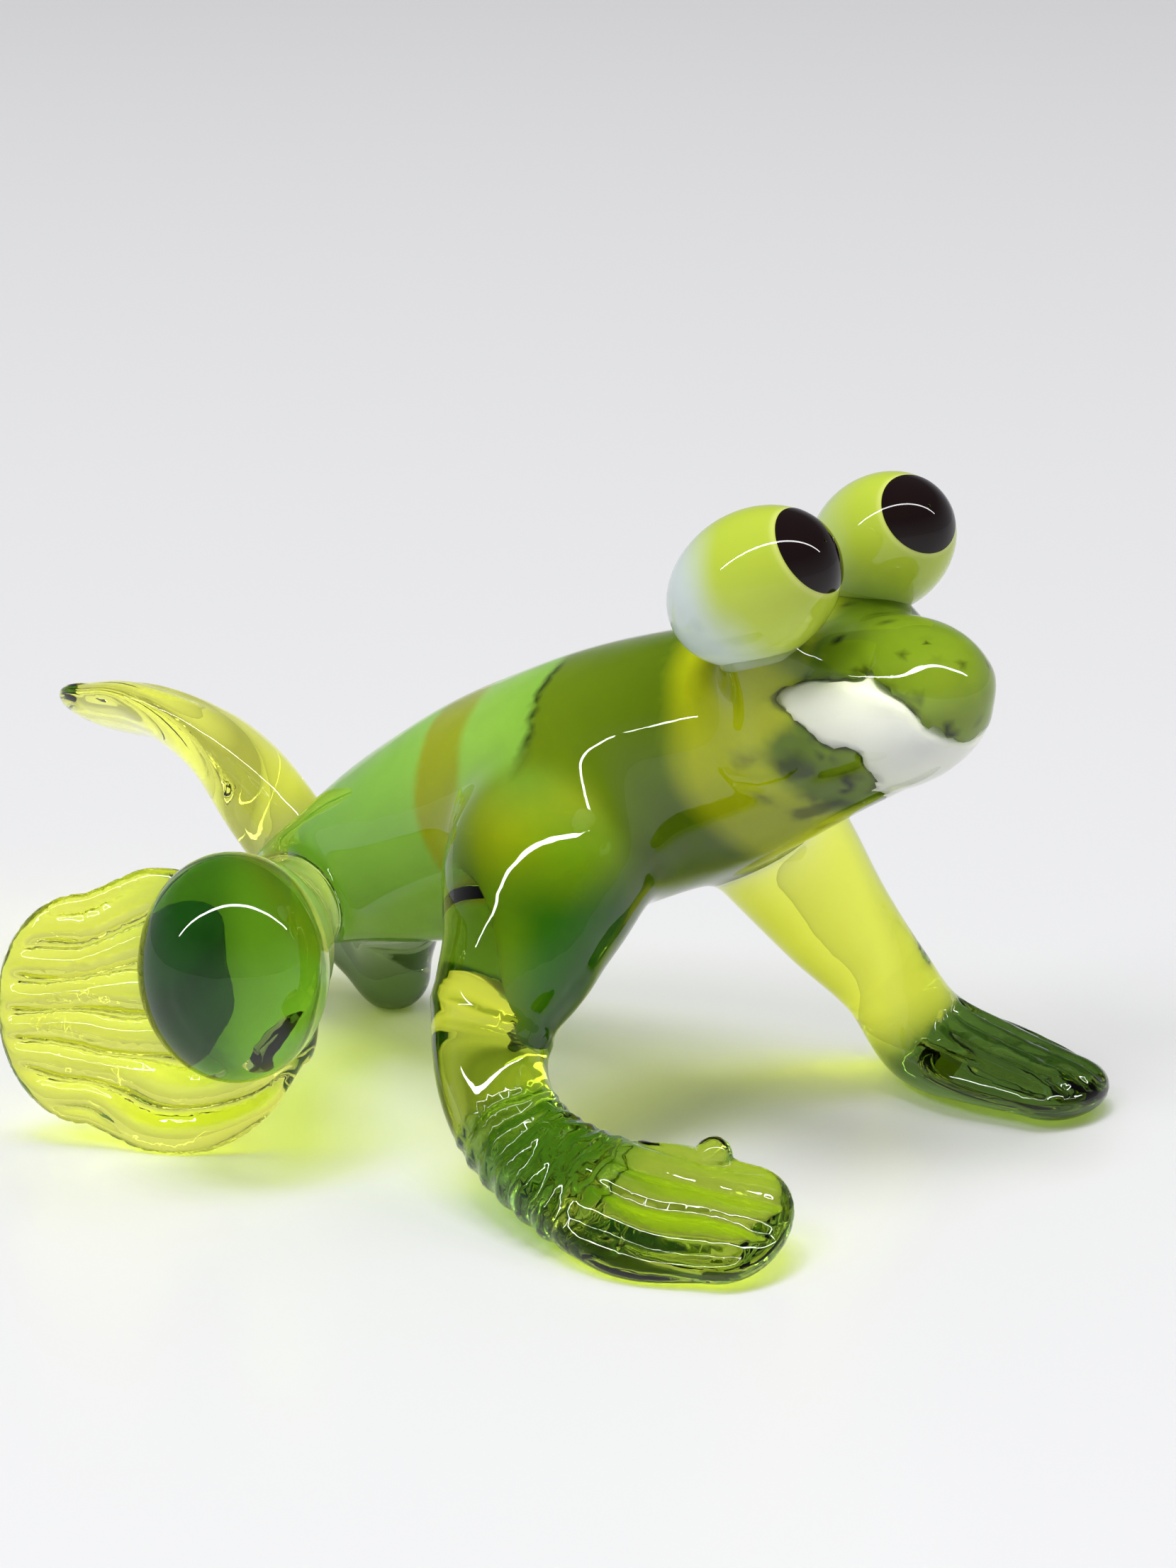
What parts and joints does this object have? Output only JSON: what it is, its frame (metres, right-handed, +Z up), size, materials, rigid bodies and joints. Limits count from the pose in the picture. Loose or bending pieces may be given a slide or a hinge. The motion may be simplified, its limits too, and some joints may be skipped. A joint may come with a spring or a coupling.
{
  "type": "lampworked glass frog figurine",
  "caption": "Crouching glass frog with a striped green body, clear lime legs with ribbed flat feet and round raised eyes; stands on a shelf as an ornament.",
  "frame": {"origin": "on the shelf surface, under the middle of the figure's bounding box", "axes": "+X the way the frog looks, +Y its left, +Z up"},
  "size_m": [0.0682, 0.0434, 0.0374],
  "materials": {
    "jade_glass": "gloss, striped green and olive under a clear casing",
    "lime_glass": "gloss, clear lime green",
    "opal_glass": "gloss, opal white turning lime towards the pupil",
    "black_glass": "gloss, opaque black"
  },
  "bodies": {
    "root": {"body": "jade_glass", "right_eye": "opal_glass", "left_eye": "opal_glass", "right_pupil": "black_glass", "left_pupil": "black_glass", "right_front_leg": "lime_glass", "left_front_leg": "lime_glass", "right_hind_leg": "lime_glass", "left_hind_leg": "lime_glass"}
  },
  "joints": []
}
